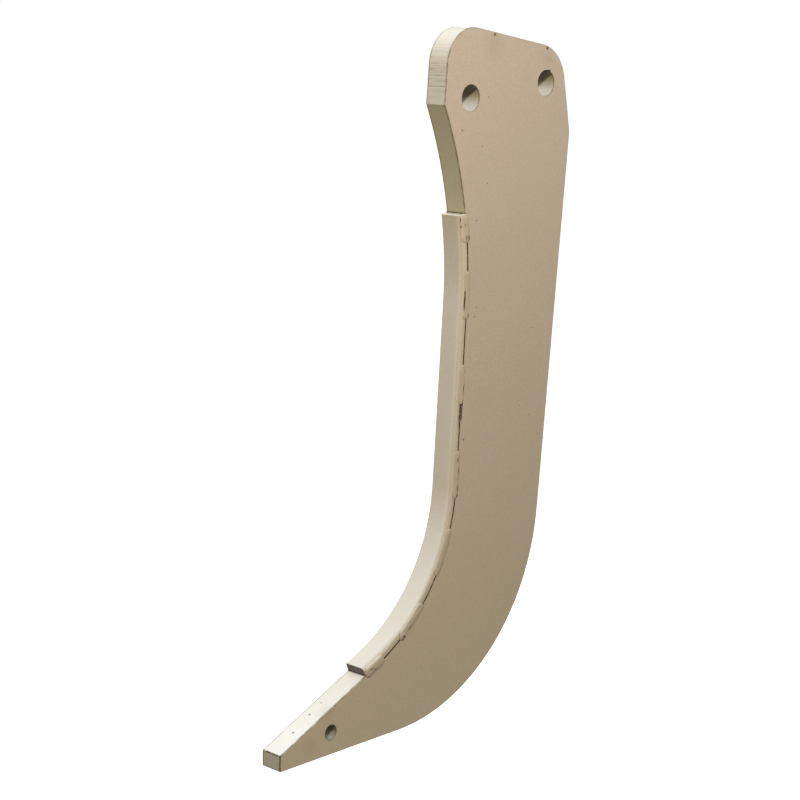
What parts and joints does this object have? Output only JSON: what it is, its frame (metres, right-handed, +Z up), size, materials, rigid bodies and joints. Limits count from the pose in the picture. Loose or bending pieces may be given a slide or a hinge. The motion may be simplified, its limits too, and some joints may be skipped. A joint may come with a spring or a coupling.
{
  "type": "subsoiler shank",
  "caption": "Curved subsoiler shank cut from thick plate, bolted up by its head, with a stitch-welded wear strip on its leading edge and a pin hole in its toe.",
  "frame": {"origin": "axis of the front head hole, at the middle of the plate's thickness", "axes": "+X to the rear, +Y across the plate, +Z up, with the sole of the toe level"},
  "size_m": [0.414, 0.0294, 0.7167],
  "materials": {
    "plate": "satin tan paint over profile-cut steel plate",
    "strip": "satin tan paint over hot-rolled flat bar",
    "weld": "tan paint over rippled weld beads"
  },
  "bodies": {
    "root": {"shank_plate": "plate", "wear_strip": "strip", "left_weld_beads": "weld", "right_weld_beads": "weld"}
  },
  "joints": []
}
